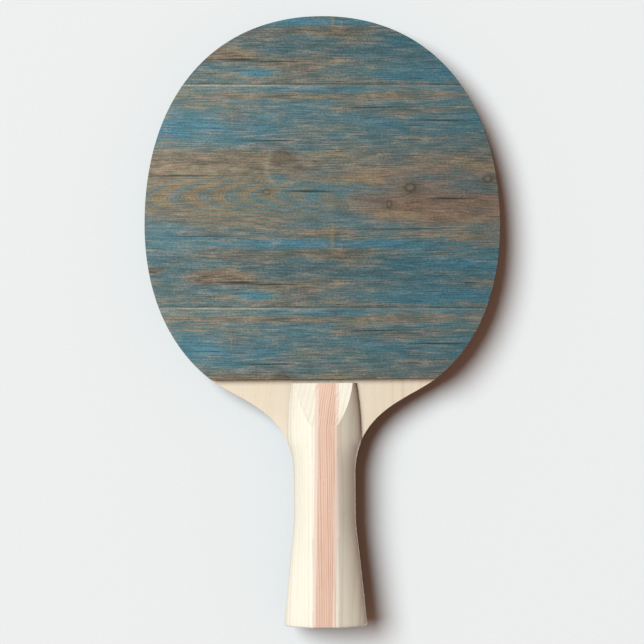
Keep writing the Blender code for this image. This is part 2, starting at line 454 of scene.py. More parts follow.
def edge_share(x, y, inset):
    """1 on the rubber's oval edge, less inside it."""
    half = HALF_HEAD - RUBBER_INSET - inset
    reach = (TIP_Y - WIDEST_Y if y > WIDEST_Y else HEEL_REACH) - RUBBER_INSET - inset
    return (abs(x) / half) ** OVAL_POWER + (abs(y - WIDEST_Y) / reach) ** OVAL_POWER


def add_pimples(face):
    outer = outer_height(face, face + "_topsheet")
    root = outer - SIDES[face] * (SKIN_THICKNESS - GLUE_HAIR)
    tip = outer_height(face, face + "_sponge")
    deselect()
    start = Vector((-HALF_HEAD, RUBBER_EDGE_Y + PIMPLE_RADIUS + PIMPLE_MARGIN, (root + tip) / 2))
    bpy.ops.mesh.primitive_cylinder_add(
        vertices=PIMPLE_SIDES, radius=PIMPLE_RADIUS, depth=abs(root - tip), location=start
    )
    field = bpy.context.object
    field.name = face + "_pimples"
    bpy.ops.object.transform_apply(location=True, rotation=False, scale=False)
    pick(field, "FACE", all_at(2, tip))
    taper = (PIMPLE_TAPER, PIMPLE_TAPER, 1)
    bpy.ops.transform.resize(value=taper, center_override=(start.x, start.y, tip))
    to_object_mode()
    row = PIMPLE_PITCH * sqrt(3) / 2
    steps = (
        (int(2 * HALF_HEAD / PIMPLE_PITCH) + 1, (PIMPLE_PITCH, 0, 0)),
        (2, (PIMPLE_PITCH / 2, row, 0)),
        (int((TIP_Y - RUBBER_EDGE_Y) / (2 * row)) + 1, (0, 2 * row, 0)),
    )
    for count, step in steps:
        array = field.modifiers.new("rows", "ARRAY")
        array.count = count
        array.use_relative_offset = False
        array.use_constant_offset = True
        array.constant_offset_displace = step
        bpy.ops.object.modifier_apply(modifier=array.name)
    drop_pimples(field)
    slab = add_backing(face, root, tip)
    work_on(field)
    slab.select_set(True)
    bpy.ops.object.join()
    settle(tidy(field), face + "_topsheet")
    return field


def drop_pimples(field):
    """Deletes the pimples that stand over the edge and those deeper in than the band."""
    size = 2 * PIMPLE_SIDES
    mesh = field.data
    drop = []
    for first in range(0, len(mesh.vertices), size):
        corners = [mesh.vertices[i].co for i in range(first, first + size)]
        middle = sum(corners, Vector()) / size
        over = edge_share(middle.x, middle.y, PIMPLE_RADIUS) > 1
        near_heel = middle.y < RUBBER_EDGE_Y + PIMPLE_BAND
        deep = edge_share(middle.x, middle.y, PIMPLE_BAND) < 1 and not near_heel
        drop.append(over or deep)
    pick(field, "VERT", lambda corners: False)
    to_object_mode()
    for vertex in mesh.vertices:
        vertex.select = drop[vertex.index // size]
    bpy.ops.object.mode_set(mode="EDIT")
    bpy.ops.mesh.delete(type="VERT")
    to_object_mode()


def add_backing(face, root, tip):
    """The set-back slab that stands for all the pimples further in."""
    slab = cut_sheet(face + "_backing", rubber_knots(BACKING_INSET), (root, tip))
    pick(slab, "VERT", lambda corners: corners[0].y < RUBBER_EDGE_Y + SNAP)
    bpy.ops.transform.translate(value=(0, BACKING_INSET, 0))
    to_object_mode()
    return slab


pimples = [add_pimples(face) for face in FACES]

# %% [markdown]
# ## The handle scales
#
# A scale is sawn from a block of laminated wood and rounded over on a moulder, so its section is
# the same arch all along, only wider where the handle flares. It is made here the same way. One
# arch is drawn as a curve, then pushed along the handle station by station and widened at each,
# which is how a loft is made by hand. A level cut flattens the crown, a slanted cut makes the ramp
# in front of the thumb, and the edges are eased. Last, five strips are sawn from copies of that one
# blank, so the laminations line up exactly.

# %% Half the handle's width along its length
FRONT_WIDTH = 27.7 * MM
SHOULDER_WIDTH = 31.5 * MM
SHOULDER = 22 * MM
SCALE_HEIGHT = handle_high.z - handle_low.z
RAMP_FRONT_HEIGHT = 3.2 * MM
FLAT_HALF_WIDTH = 4.9 * MM
ARCH_ROUNDNESS = 1.5
ARCH_PULL = 0.352  # the Bezier handle that gives an arch of that roundness
STATIONS = 44


def curve_width(corners, y):
    """The width at y of one Bezier stretch that runs down the page, from its four corners."""
    low, high = 0, 1
    for _ in range(30):
        t = (low + high) / 2
        shares = ((1 - t) ** 3, 3 * t * (1 - t) ** 2, 3 * t * t * (1 - t), t**3)
        width, along = (sum(s * c[axis] for s, c in zip(shares, corners)) for axis in (0, 1))
        low, high = (t, high) if along > y else (low, t)
    return width


def blade_half_width(y):
    """The blade's side at y, from the same knots that its outline is drawn from."""
    side = head_knots(0, NECK_HEAD_PULL)[2:] + blade_knots()[3:6]
    for (upper, _, after), (lower, before, _) in zip(side, side[1:]):
        if upper.y >= y >= lower.y:
            return curve_width((upper, upper + after, lower + before, lower), y)
    return HALF_BUTT


def scale_half_width(y):
    """The scale has its own shoulder in front of the waist, and is flush with the blade behind."""
    if y <= WAIST_Y:
        return blade_half_width(y)
    back = min((HANDLE_FRONT_Y - y) / SHOULDER, 1)
    shoulder = SHOULDER_WIDTH / 2 - (SHOULDER_WIDTH - FRONT_WIDTH) / 2 * (1 - back) ** 2
    return min(shoulder, blade_half_width(y))


def arch_height(half_width):
    """How high an arch of this width would stand if its crown weren't cut flat."""
    share = (FLAT_HALF_WIDTH / half_width) ** ARCH_ROUNDNESS
    return SCALE_HEIGHT / (1 - share) ** (1 / ARCH_ROUNDNESS)


# %% Loft the blank, cut its crown and its ramp
CROWN_EASE = 0.9 * MM
CUT_EXACTNESS = 0.001 * MM


def draw_arch(name, half_width, height):
    """One arch, standing on its base line, drawn flat with its height along Y."""
    knots = [
        knot(half_width, 0, after=(0, ARCH_PULL * height)),
        knot(0, height, (ARCH_PULL * half_width, 0), (-ARCH_PULL * half_width, 0)),
        knot(-half_width, 0, before=(0, ARCH_PULL * height)),
    ]
    return as_mesh(draw_curve(name, knots, 20))


def cut_away(piece, point, normal):
    """Bisects a piece, drops what lies beyond the plane and closes the cut."""
    pick_all(piece)
    bpy.ops.mesh.bisect(
        plane_co=point, plane_no=normal, use_fill=True, clear_outer=True, threshold=CUT_EXACTNESS
    )
    to_object_mode()


def loft_blank(name):
    """The blank of one scale, standing on Z = 0 before its place is known."""
    width = scale_half_width(HANDLE_FRONT_Y)
    height = arch_height(width)
    blank = draw_arch(name, width, height)
    pick_all(blank)
    bpy.ops.mesh.remove_doubles(threshold=SNAP)
    bpy.ops.mesh.select_all(action="SELECT")
    bpy.ops.transform.rotate(value=-pi / 2, orient_axis="X", center_override=(0, 0, 0))
    bpy.ops.transform.translate(value=(0, HANDLE_FRONT_Y, 0))
    y = HANDLE_FRONT_Y
    step = (HANDLE_FRONT_Y - BUTT_Y) / STATIONS
    for _ in range(STATIONS):
        bpy.ops.mesh.extrude_region_move(TRANSFORM_OT_translate={"value": (0, -step, 0)})
        y -= step
        new_width = scale_half_width(y)
        new_height = arch_height(new_width)
        grow = (new_width / width, 1, new_height / height)
        bpy.ops.transform.resize(value=grow, center_override=(0, y, 0))
        width, height = new_width, new_height
    for end in (HANDLE_FRONT_Y, BUTT_Y):
        pick(blank, "EDGE", all_at(1, end))
        bpy.ops.mesh.edge_face_add()
    pick_all(blank)
    bpy.ops.mesh.normals_make_consistent(inside=False)
    to_object_mode()
    return blank


def shape_blank(blank):
    cut_away(blank, (0, 0, SCALE_HEIGHT), (0, 0, 1))
    on_crown = all_at(2, SCALE_HEIGHT)
    pick(blank, "EDGE", lambda c: on_crown(c) and abs(c[0].y - c[1].y) > abs(c[0].x - c[1].x))
    ease_edges(CROWN_EASE, 4)
    pick(blank, "EDGE", lambda c: all_at(1, BUTT_Y)(c) and max(c[0].z, c[1].z) > SNAP)
    ease_edges(BUTT_ROUND, 4)
    slope = atan2(SCALE_HEIGHT - RAMP_FRONT_HEIGHT, RAMP_LENGTH)
    cut_away(blank, (0, HANDLE_REST_Y, SCALE_HEIGHT), (0, sin(slope), cos(slope)))
    return blank


# %% Saw the strips
CENTER_STRIP = 6.6 * MM
VENEER = 1.1 * MM
STRIP_GAP = 0.3 * MM
SKEWS = {"front": radians(-1.25), "back": 0}
SHIFTS = {"front": 0.4 * MM, "back": 0}
SAW_HAIR = 0.03 * MM


def saw_lines():
    """Where each strip starts and ends across the handle, with the gaps in the frame shared out."""
    half = (CENTER_STRIP + STRIP_GAP) / 2
    veneer_end = half + VENEER + STRIP_GAP
    far = HALF_HEAD
    cuts = (-far, -veneer_end, -half, half, veneer_end, far)
    hair = SAW_HAIR / 2
    return {s: (a + hair, b - hair) for s, a, b in zip(STRIPS, cuts, cuts[1:])}


def saw_strip(blank, name, start, end, skew, middle):
    work_on(blank)
    bpy.ops.object.duplicate()
    strip = bpy.context.object
    strip.name = name
    strip.data.name = name
    across = Vector((cos(skew), sin(skew), 0))
    cut_away(strip, middle + across * start, -across)
    cut_away(strip, middle + across * end, across)
    return strip


def add_scale(face):
    """The five strips of one scale, on its own side of the blade."""
    blank = shape_blank(loft_blank(face + "_blank"))
    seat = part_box(face + "_scale_center_strip")[0 if face == "front" else 1].z
    middle = Vector((SHIFTS[face], (HANDLE_FRONT_Y + BUTT_Y) / 2, 0))
    made = {}
    for strip, (start, end) in saw_lines().items():
        node = f"{face}_scale_{strip}"
        piece = saw_strip(blank, f"handle_{face}_{strip}", start, end, SKEWS[face], middle)
        pick_all(piece)
        if face == "back":
            bpy.ops.transform.resize(value=(1, 1, -1), center_override=(0, 0, 0))
        bpy.ops.transform.translate(value=(0, 0, seat))
        settle(tidy(piece, 20), node)
        made[node] = piece
    bpy.data.objects.remove(blank)
    return made


scales = {**add_scale("front"), **add_scale("back")}

# %% [markdown]
# ## Writing materials in code
#
# A material is a tree of nodes. The tree that is being built lies on the bench, and short helpers
# add to it: one adds a node and plugs its sockets, others do a sum or mix two colours. Patterns are
# in millimetres, measured on the piece itself, so a grain line is as wide as a real one.

# %% Helpers for node trees
bench = {}


def tint(red, green, blue):
    """A colour picker's values, 0 to 255, as the linear values that shaders use."""
    shares = (value / 255 for value in (red, green, blue))
    linear = [s / 12.92 if s <= 0.04045 else ((s + 0.055) / 1.055) ** 2.4 for s in shares]
    return (*linear, 1)


def plug(socket, value):
    """Links a socket to another node's output, or sets its own value."""
    if isinstance(value, bpy.types.NodeSocket):
        bench["tree"].links.new(value, socket)
    elif value is not None:
        socket.default_value = value


def put(kind, settings=None, **sockets):
    """Adds one shader node, with its settings and its input sockets by name."""
    node = bench["tree"].nodes.new("ShaderNode" + kind)
    for name, value in (settings or {}).items():
        setattr(node, name, value)
    for name, value in sockets.items():
        plug(node.inputs[name.replace("_", " ")], value)
    return node


def calc(operation, *values, clamp=False):
    node = put("Math", {"operation": operation, "use_clamp": clamp})
    for socket, value in zip(node.inputs, values):
        plug(socket, value)
    return node.outputs[0]


def minus(first, second):
    return calc("SUBTRACT", first, second)


def times(*values):
    product = values[0]
    for value in values[1:]:
        product = calc("MULTIPLY", product, value)
    return product


def times_plus(value, factor, added, clamp=False):
    """The value times the factor, plus what is added."""
    return calc("MULTIPLY_ADD", value, factor, added, clamp=clamp)


def vector(operation, *values):
    node = put("VectorMath", {"operation": operation})
    for socket, value in zip(node.inputs, values):
        plug(socket, value)
    return node.outputs["Value" if operation == "LENGTH" else "Vector"]


def mix(factor, first, second, blend="MIX"):
    node = put("Mix", {"data_type": "RGBA", "blend_type": blend})
    for place, value in ((0, factor), (6, first), (7, second)):
        plug(node.inputs[place], value)
    return node.outputs[2]


def fade(value, low, high, to_low=0, to_high=1):
    """A smooth step: to_low at or below low, to_high at or above high."""
    node = put("MapRange", {"interpolation_type": "SMOOTHSTEP"})
    for place, number in enumerate((value, low, high, to_low, to_high)):
        plug(node.inputs[place], number)
    return node.outputs[0]


def noise(place, size, detail=2, roughness=0.5, shift=(0, 0, 0)):
    """Noise whose blots are about size millimetres along each axis."""
    scaled = put("Mapping", {"vector_type": "POINT"}, Vector=place, Location=shift)
    scaled.inputs["Scale"].default_value = [1 / length for length in size]
    made = put("TexNoise", Vector=scaled.outputs[0], Scale=1, Detail=detail, Roughness=roughness)
    return made.outputs[0]


def new_group(name, inputs, outputs):
    """Starts a shader node group, from the names and kinds of its sockets."""
    group = bpy.data.node_groups.new(name, "ShaderNodeTree")
    for in_out, sockets in (("INPUT", inputs), ("OUTPUT", outputs)):
        for label, kind in sockets.items():
            group.interface.new_socket(label, in_out=in_out, socket_type="NodeSocket" + kind)
    source = group.nodes.new("NodeGroupInput")
    sink = group.nodes.new("NodeGroupOutput")
    bench["tree"] = group
    return group, source.outputs, sink.inputs


def use(group, **sockets):
    """Places a node group in the tree and plugs its inputs."""
    return put("Group", {"node_tree": group}, **sockets).outputs


def millimetres():
    """The place on the piece, in millimetres."""
    place = put("TexCoord").outputs["Object"]
    return vector("MULTIPLY", place, (1000, 1000, 1000))


def new_material(name):
    material = bpy.data.materials.new(name)
    material.use_nodes = True
    bench["tree"] = material.node_tree
    return material, material.node_tree.nodes["Principled BSDF"]


def bump(shader, height, strength, distance):
    """Feeds a height to the shader's normal. The distance is in metres."""
    node = put("Bump", Height=height, Strength=strength, Distance=distance)
    plug(shader.inputs["Normal"], node.outputs[0])


def dress(piece, material):
    piece.data.materials.clear()
    piece.data.materials.append(material)


# %% [markdown]
# ## Wood
#
# Every wooden piece here is the same idea with other values: rings grown round a heart that lies
# well outside the piece, so that they cross it as nearly straight lines, and fibres drawn out along
# the grain. Because the rings are solid, the lines run over an edge and turn into arcs on the end
# grain of the butt, as they do on a real block. The group takes the place in millimetres with the
# grain along Y, and a material turns the place first when its grain runs another way.

# %% The wood grain group
def make_wood_grain():
    numbers = ("Ring Spacing", "Ring Depth", "Fibre Depth", "Pore Depth")
    inputs = {"Vector": "Vector", "Heart": "Vector", "Light": "Color", "Dark": "Color"}
    inputs |= {name: "Float" for name in numbers}
    group, given, result = new_group("wood_grain", inputs, {"Color": "Color", "Height": "Float"})
    place = given["Vector"]
    sway = noise(place, (9, 160, 9), 2)
    away = vector("SUBTRACT", place, given["Heart"])
    away = vector("MULTIPLY", away, (1, 0.012, 1))
    radius = times_plus(sway, 2.4, vector("LENGTH", away))
    turn = calc("DIVIDE", radius, given["Ring Spacing"])
    within = calc("FRACT", turn)
    rise = fade(within, 0.35, 0.9)
    late = times(rise, fade(within, 0.93, 1, 1, 0))
    number = calc("FLOOR", turn)
    year = put("TexWhiteNoise", {"noise_dimensions": "1D"}, W=number).outputs[0]
    rings = times(late, times_plus(year, 0.85, 0.15))
    fibres = noise(place, (0.28, 9, 0.28), 3, 0.6)
    cloud = noise(place, (7, 40, 7), 2)
    pores = fade(noise(place, (0.22, 2.6, 0.22), 1), 0.66, 0.76)
    depth = times(rings, given["Ring Depth"])
    depth = times_plus(minus(fibres, 0.45), given["Fibre Depth"], depth)
    depth = times_plus(minus(cloud, 0.5), 0.35, depth)
    depth = times_plus(pores, given["Pore Depth"], depth, clamp=True)
    plug(result["Color"], mix(depth, given["Light"], given["Dark"]))
    height = times_plus(pores, -0.8, fibres)
    plug(result["Height"], times_plus(rings, 0.25, height))
    return group


wood_grain = make_wood_grain()
FAR_HEART = (-40, 0, -70)


def wood(name, light, dark, spacing, ring, fibre, pore, heart=FAR_HEART, turn=0, shine=0.3):
    """A wooden material. Turn is how far the grain is turned from Y, about Z."""
    material, shader = new_material(name)
    place = millimetres()
    if turn:
        place = put("Mapping", Vector=place, Rotation=(0, 0, turn)).outputs[0]
    looks = {"Vector": place, "Light": light, "Dark": dark, "Heart": heart}
    looks |= {"Ring_Spacing": spacing, "Ring_Depth": ring}
    looks |= {"Fibre_Depth": fibre, "Pore_Depth": pore}
    grain = use(wood_grain, **looks)
    plug(shader.inputs["Base Color"], grain["Color"])
    plug(shader.inputs["Roughness"], fade(grain["Height"], 0.2, 0.8, 0.6, 0.48))
    plug(shader.inputs["Specular IOR Level"], shine)
    bump(shader, grain["Height"], 0.35, 0.05 * MM)
    return material


# %% The woods of this paddle
PALE_BLOCK = {"heart": (-55, 0, -30), "shine": 0.55}
RED_BLOCK = {"heart": (-60, 0, -12)}
# Each row is a name, the light and the dark colour, the four values of the grain, and any others.
WOODS = (
    ("face_wood", (233, 217, 194), (205, 172, 132), (2.6, 0.3, 0.45, 0.35), {}),
    ("cross_wood", (214, 176, 128), (150, 104, 62), (1.8, 0.5, 0.5, 0.3), {"turn": pi / 2}),
    ("core_wood", (236, 214, 172), (200, 164, 116), (2.2, 0.4, 0.4, 0.3), {}),
    ("light_wood", (239, 231, 213), (190, 156, 110), (1.7, 0.3, 0.34, 0.22), PALE_BLOCK),
    ("veneer_wood", (238, 212, 196), (200, 150, 130), (0.9, 0.4, 0.4, 0.2), {}),
    ("red_wood", (231, 197, 175), (186, 120, 96), (0.85, 0.75, 0.5, 0.35), RED_BLOCK),
)
woods = {}
for name, light, dark, grain, others in WOODS:
    woods[name] = wood(name, tint(*light), tint(*dark), *grain, **others)
for node, ply in plies.items():
    slot = node.split("_")[-2] + "_wood"
    dress(ply, woods[slot])
for node, strip in scales.items():
    slot = "red_wood" if "center" in node else "veneer_wood" if "veneer" in node else "light_wood"
    dress(strip, woods[slot])
print("woods:", ", ".join(woods))

# %% [markdown]
# ## Sponge and plain rubber
#
# Table tennis sponge is a foam of fine closed cells, cut with a knife, so its edge is dull and
# pricked all over. The back's topsheet is plain red rubber: smooth, a little tacky, and faintly
# mottled.

# %% Sponge and rubber materials
def make_sponge():
    material, shader = new_material("sponge")
    place = millimetres()
    cells = put("TexVoronoi", {"feature": "F1"}, Vector=place, Scale=3.4)
    pits = fade(cells.outputs["Distance"], 0.05, 0.45)
    clouds = noise(place, (6, 6, 6), 2)
    body = mix(clouds, tint(226, 196, 138), tint(238, 212, 160))
    plug(shader.inputs["Base Color"], mix(pits, tint(176, 140, 86), body))
    plug(shader.inputs["Roughness"], 0.9)
    plug(shader.inputs["Specular IOR Level"], 0.15)
    bump(shader, pits, 0.6, 0.12 * MM)
    return material


def make_plain_rubber(name, first, second, blot, roughness, dent, grit=None):
    """Mottled rubber. Blot and grit are in millimetres, dent is a bump's strength and depth."""
    material, shader = new_material(name)
    place = millimetres()
    mottle = noise(place, (blot, blot, blot), 3, 0.6)
    plug(shader.inputs["Base Color"], mix(mottle, tint(*first), tint(*second)))
    plug(shader.inputs["Roughness"], fade(mottle, 0.3, 0.7, *roughness))
    bump(shader, noise(place, (grit, grit, grit), 1) if grit else mottle, *dent)
    return material


sponge_foam = make_sponge()
red_rubber = make_plain_rubber(
    "red_rubber", (176, 26, 22), (150, 17, 16), 5, (0.42, 0.52), (0.25, 0.02 * MM), 0.35
)
black_rubber = make_plain_rubber(
    "black_rubber", (24, 24, 25), (38, 37, 36), 2, (0.55, 0.68), (0.2, 0.03 * MM)
)
for piece in sponges:
    dress(piece, sponge_foam)
dress(skins[1], red_rubber)
dress(pimples[1], red_rubber)
dress(pimples[0], black_rubber)

# %% [markdown]
# ## The printed face
#
# The front rubber carries a print of old painted boards: teal paint, worn along the grain down to
# tan wood, with knots, cracks and a seam where two boards meet. It is all built from three kinds of
# pattern. Streaks are noise that is stretched sideways, and a threshold on them decides where the
# paint has gone. Ragged patches say where a board is more worn, or freshly blue. Arches of growth
# rings come from one formula. The picture repeats every board height, so the features are placed
# once, measured from a seam.

# %% A ragged patch
def make_ragged_patch():
    inputs = {"Vector": "Vector", "Centre": "Vector", "Size": "Vector"}
    inputs |= {"Rag": "Float", "Edge": "Float"}
    group, given, result = new_group("ragged_patch", inputs, {"Mask": "Float"})
    away = vector("SUBTRACT", given["Vector"], given["Centre"])
    away = vector("DIVIDE", away, given["Size"])
    far = calc("ADD", vector("LENGTH", away), given["Rag"])
    inner = minus(1, given["Edge"])
    outer = calc("ADD", 1, given["Edge"])
    plug(result["Mask"], fade(far, inner, outer, 1, 0))
    return group


ragged_patch = make_ragged_patch()

# %% Where things are on the print: millimetres from the middle and up from a board's seam
BOARD_HEIGHT = 95.2
SEAM_Y = 5  # the seam's height above the middle of the paddle
PRINT_TURN = radians(0.6)
ARCH_START_X = -56
ARCH_MIDDLE_Y = 47.7
ARCH_BEND = 2.9  # a smaller bend makes the nested arches more pointed
ARCH_PITCH = 11.9
RING_PITCH = 1.6
ARCHED_PART = (-38, 46, 44, 11.5)
ORANGE_PART = (56, 48, 48, 13)
BURL = (-18.5, 60, 7, 8.5)
BURL_INSIDE = (-17.4, 60, 5.8, 7.6)
BURL_SHADE = (-17, 63.5, 5, 5)

# Each row is (x, y, half length, half height, amount): wood shows where the amount is positive, and
# the paint is whole where it is negative.
WEAR = (
    (-52, 57.5, 31, 8, 1.05), (0, 1.5, 24, 2.4, 0.3), (36, 84.5, 26, 2, 0.34),
    (-8, 86, 14, 2.4, -0.22), (-38, 22.5, 24, 2.4, 0.3), (4, 23, 14, 2, 0.24),
    (-62, 46, 20, 8, 0.8), (-36, 38.5, 28, 3.2, 0.4), (-38, 33, 24, 3, 0.28),
    (-66, 35.5, 12, 5, -0.12), (-24, 62, 12, 7.5, 0.16), (34, 57, 50, 10, 0.32),
    (52, 42.5, 32, 5.5, 0.6), (56, 35, 22, 2.5, 0.18), (-43, 13, 13, 2.4, 1),
    (-72.5, 15.5, 4.5, 1.6, 0.6), (-24, 10, 27, 2.4, 0.34), (-10, 6.5, 10, 2.6, 0.32),
    (-36, 81, 9, 4, 0.3), (-30, 72, 26, 4, 0.1), (-22, 90.2, 38, 1.6, 0.34),
    (38, 91, 18, 2.4, 0.34), (2, 30.5, 14, 3, 0.42), (52, 30, 26, 3, 0.22), (30, 24, 46, 3, 0.2),
    (72, 66, 12, 8, 0.16), (-30, 4.8, 7, 2.2, -0.4), (-14, 27, 24, 1.8, -0.3),
    (10, 27.5, 38, 2.4, -0.24), (42, 27, 18, 2.8, -0.26), (57, 21, 26, 5, -0.4),
    (-50, 18.5, 10, 2, -0.2), (46, 14.5, 26, 3, -0.14), (50, 5, 26, 3.4, -0.36),
    (-50, 76, 26, 9, -0.3), (-50, 89, 22, 3, 0.1), (-62, 26, 16, 5, -0.26), (0, 94, 60, 2, -0.2),
    (48, 81, 30, 5, -0.26), (-20, 55.5, 4, 3, -0.6), (0, 50.5, 19, 3, -0.46), (-7, 45, 5, 3, -0.4),
    (8, 48, 12, 4, 0.1), (-10, 61, 9, 3, 0.36),
)
# Lighter and darker places, laid out the same way.
TONES = (
    (-22, 20, 62, 5.5, -0.16), (-2, 13.5, 70, 4, -0.12), (-60, 7, 18, 7, -0.12),
    (-26, 65, 22, 4, -0.14), (-64, 55, 18, 7, 0.1), (44, 58, 34, 6, 0.1), (48, 34, 34, 4.5, 0.12),
    (48, 91, 26, 5, 0.16), (-43, 90.5, 18, 2.5, 0.1), (64, 41, 16, 4, 0.1),
)
# Dark cracks: (x, y, half length, half thickness).
CRACKS = (
    (-60.5, 56.1, 14.5, 0.34), (21, 85.6, 14, 0.26), (48, 80.2, 16, 0.24), (-24, 71.3, 11, 0.26),
    (-6.5, 49.6, 11, 0.45), (-73.5, 15.2, 3, 0.4), (-20, 9.9, 13, 0.26), (-37, 10.8, 8, 0.5),
    (55, 46.5, 9, 0.35), (30, 33.5, 20, 0.24), (-50, 30.2, 16, 0.24),
)
# Knots: (x, y, half length, half height).
KNOTS = (
    (-24.2, 49.3, 1.9, 1.1), (28, 44.2, 1.3, 1.9), (37, 51.4, 2.6, 2), (70, 55.2, 2.2, 1.7),
)
# Short upright scratches: (x, y, half width, half height).
SCRATCHES = (
    (-19.5, 80.6, 0.35, 2.6), (-39, 79.6, 0.35, 2), (3.8, 30.5, 0.7, 6.5), (-41, 83.4, 3.2, 0.35),
)

# %% The weathered boards
BLUE = tint(64, 118, 136)
TEAL = tint(82, 114, 116)
DEEP = tint(48, 72, 76)
AQUA = tint(70, 144, 180)
TAN = tint(146, 126, 102)
BROWN = tint(88, 78, 62)
RUST = tint(130, 92, 72)
OCHRE = tint(136, 118, 82)
PALE = tint(160, 150, 130)
SHADE = tint(30, 32, 28)


def one_patch(place, row, rag=0, edge=0.4):
    """A ragged patch from (x, y, half length, half height, …)."""
    centre = (row[0], row[1], 0)
    size = (row[2], row[3], 1)
    return use(ragged_patch, Vector=place, Centre=centre, Size=size, Rag=rag, Edge=edge)["Mask"]


def over(under, colour, *masks):
    """A colour laid over another where all the masks let it."""
    return mix(times(*masks), under, colour)


def flat(x, y):
    """A place on the print."""
    return put("CombineXYZ", X=x, Y=y, Z=0).outputs[0]


def line(value, place, half, soft):
    """1 where the value is within half of the place, then fading out."""
    off = calc("ABSOLUTE", minus(value, place))
    return fade(off, half, soft, 1, 0)


def swing(pattern, amount, base=0):
    """A pattern about a half becomes a swing to both sides of the base."""
    return times_plus(minus(pattern, 0.5), amount, base)


def make_boards():
    outputs = {"Color": "Color", "Height": "Float"}
    group, given, result = new_group("weathered_boards", {"Vector": "Vector"}, outputs)
    turned = put("Mapping", Vector=given["Vector"], Rotation=(0, 0, PRINT_TURN)).outputs[0]
    across, raw_up = put("SeparateXYZ", Vector=turned).outputs[:2]
    up = calc("FLOORED_MODULO", minus(raw_up, SEAM_Y), BOARD_HEIGHT)
    board = flat(across, up)

    # Streaks wander a little up and down along the board.
    wander = minus(noise(board, (70, 18, 1), 1), 0.5)
    bent = vector("ADD", board, flat(0, times(wander, 7)))
    broad = noise(bent, (38, 7, 1), 2, 0.5)
    streak = noise(bent, (26, 1.3, 1), 4, 0.62)
    fine = noise(bent, (14, 0.5, 1), 3, 0.6, (31, 7, 0))
    grit = noise(board, (0.9, 0.8, 1), 3, 0.7)
    blots = noise(board, (9, 3.2, 1), 4, 0.66, (9, 40, 0))

    # Where the wood shows.
    rag = swing(streak, 2, swing(blots, 1))
    wear = 0.07
    for row in WEAR:
        wear = times_plus(one_patch(board, row, rag, 0.6), row[4], wear)
    wear = swing(broad, 1.1, wear)
    level = swing(streak, 1.4, swing(fine, 0.35, swing(grit, 1, wear)))
    level = swing(blots, 1.3, level)
    bare = fade(level, -0.35, 0.75)

    # Growth rings in nested arches, to the left of the first knot.
    height = swing(blots, 2.2, times_plus(wander, 5, up))
    height = minus(height, ARCH_MIDDLE_Y)
    arch = calc("DIVIDE", times(height, height), ARCH_BEND)
    along = minus(swing(broad, 9, minus(across, ARCH_START_X)), arch)
    wide = calc("FRACT", calc("DIVIDE", along, ARCH_PITCH))
    wide_line = times(fade(wide, 0, 0.2), fade(wide, 0.4, 0.8, 1, 0))
    tight = calc("FRACT", calc("DIVIDE", along, RING_PITCH))
    tight_line = times(fade(tight, 0.1, 0.5), fade(tight, 0.6, 1, 1, 0))
    ring_zone = one_patch(board, ARCHED_PART)

    # Colours.
    tone = swing(blots, 0.9, swing(streak, 1.3, 0.36))
    tone = minus(tone, times(wear, 0.6))
    paint = mix(fade(tone, 0.05, 0.7), TEAL, BLUE)
    paint = over(paint, AQUA, fade(tone, 0.6, 0.95), 0.8)
    paint = mix(fade(fine, 0.56, 0.42, 0, 0.45), paint, DEEP)
    timber = mix(fade(swing(blots, 0.8, fine), 0.3, 0.7), BROWN, TAN)
    orange = one_patch(board, ORANGE_PART, rag, 0.8)
    timber = over(timber, RUST, orange, 0.6)
    timber = mix(fade(broad, 0.5, 0.65, 0, 0.4), timber, OCHRE)
    rusty = noise(bent, (12, 1.6, 1), 3, 0.6, (77, 15, 0))
    timber = mix(fade(rusty, 0.54, 0.64, 0, 0.7), timber, RUST)
    colour = mix(times(bare, 0.88), paint, timber)
    colour = over(colour, TEAL, ring_zone, wide_line, 0.55)
    colour = over(colour, OCHRE, ring_zone, minus(1, wide_line), 0.4)
    colour = over(colour, BROWN, ring_zone, tight_line, 0.38)
    rim, inside = (
        one_patch(board, part, times(rag, 0.12), 0.16) for part in (BURL, BURL_INSIDE)
    )
    burl = minus(rim, inside)
    burl = times(burl, fade(across, -22, -17, 0.3, 0))
    colour = mix(burl, colour, PALE)
    colour = over(colour, BROWN, one_patch(board, BURL_SHADE, rag), 0.4)

    # Fine dark cracks everywhere, more of them between the worn bands, then the long ones.
    split = noise(bent, (11, 0.45, 1), 3, 0.6, (3, 61, 0))
    often = fade(blots, 0.3, 0.7, 0.06, -0.03)
    split = fade(minus(split, often), 0.56, 0.66)
    colour = over(colour, SHADE, split, 0.62)
    thin = vector("ADD", board, flat(0, times(wander, 2)))
    for row in CRACKS:
        colour = over(colour, SHADE, one_patch(thin, row, 0, 0.5), 0.75)
    for x, y, length, tall in KNOTS:
        eye = one_patch(board, (x, y, length, tall), times(rag, 0.5), 0.4)
        core = one_patch(board, (x, y, 0.55 * length, 0.55 * tall), 0, 0.4)
        halo = one_patch(board, (x, y, 2.6 * length, 1.9 * tall), times(rag, 0.6), 0.5)
        colour = over(colour, BROWN, halo, 0.3)
        colour = over(colour, SHADE, eye, 0.5)
        colour = over(colour, TAN, core, 0.4)
    for row in SCRATCHES:
        colour = over(colour, OCHRE, one_patch(board, row, rag, 0.6), 0.5)

    # The seam: a dark line over a pale worn edge that fades to the right.
    dark = line(up, 0.35, 0.1, 0.5)
    colour = over(colour, SHADE, dark, 0.4)
    edge = line(up, BOARD_HEIGHT - 0.4, 0.1, 0.6)
    edge = times(edge, fade(streak, 0.35, 0.55, 0.4, 1))
    colour = over(colour, PALE, edge, fade(across, -20, 40, 0.62, 0.25))
